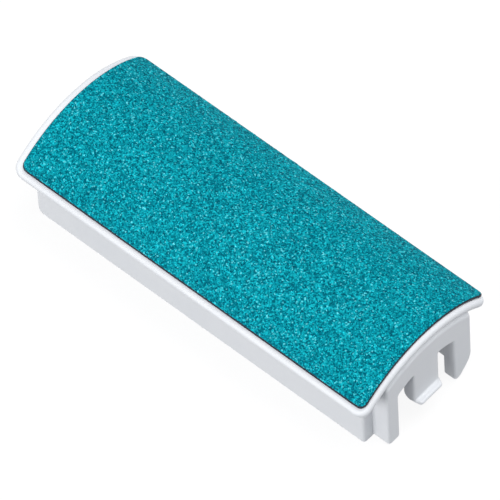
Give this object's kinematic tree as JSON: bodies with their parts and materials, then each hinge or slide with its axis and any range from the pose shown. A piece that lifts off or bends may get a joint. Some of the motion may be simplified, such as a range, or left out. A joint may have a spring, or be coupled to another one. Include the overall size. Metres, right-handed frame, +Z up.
{
  "type": "abrasive head for an electric callus remover",
  "caption": "Clip-on crowned abrasive head for an electric callus remover: teal grit sheet on a white moulded carrier with guide legs and a snap latch.",
  "frame": {"origin": "centre of the part's box at the level of the skirt's foot, which it stands on", "axes": "+X to the nose end with the snap latch, +Y to the far long side, +Z up through the crown of the abrasive"},
  "size_m": [0.068, 0.027, 0.0183],
  "materials": {
    "abrasive": "teal mineral grit in coloured resin, rough, with bright crystal glints",
    "film": "dark grey backing film, satin",
    "adhesive": "grey foam adhesive, matte",
    "carrier_plastic": "white moulded plastic, satin to semi-gloss"
  },
  "bodies": {
    "head": {"abrasive_coat": "abrasive", "backing_film": "film", "adhesive_sheet": "adhesive", "pad_plate": "carrier_plastic", "skirt_frame": "carrier_plastic", "nose_arch": "carrier_plastic", "guide_leg_near": "carrier_plastic", "guide_leg_far": "carrier_plastic", "tail_hook_near": "carrier_plastic", "tail_hook_far": "carrier_plastic", "cross_rib_1": "carrier_plastic", "cross_rib_2": "carrier_plastic", "cross_rib_3": "carrier_plastic", "cross_rib_4": "carrier_plastic", "cross_rib_5": "carrier_plastic"},
    "latch": {"snap_latch": "carrier_plastic"}
  },
  "joints": [
    {"name": "latch_flex", "type": "hinge", "parent": "head", "child": "latch", "pos_m": [0.03188, 0, 0.0102], "axis": [0, 1, 0], "range_deg": [0, 12], "stiffness_Nm_per_rad": 0.3}
  ]
}
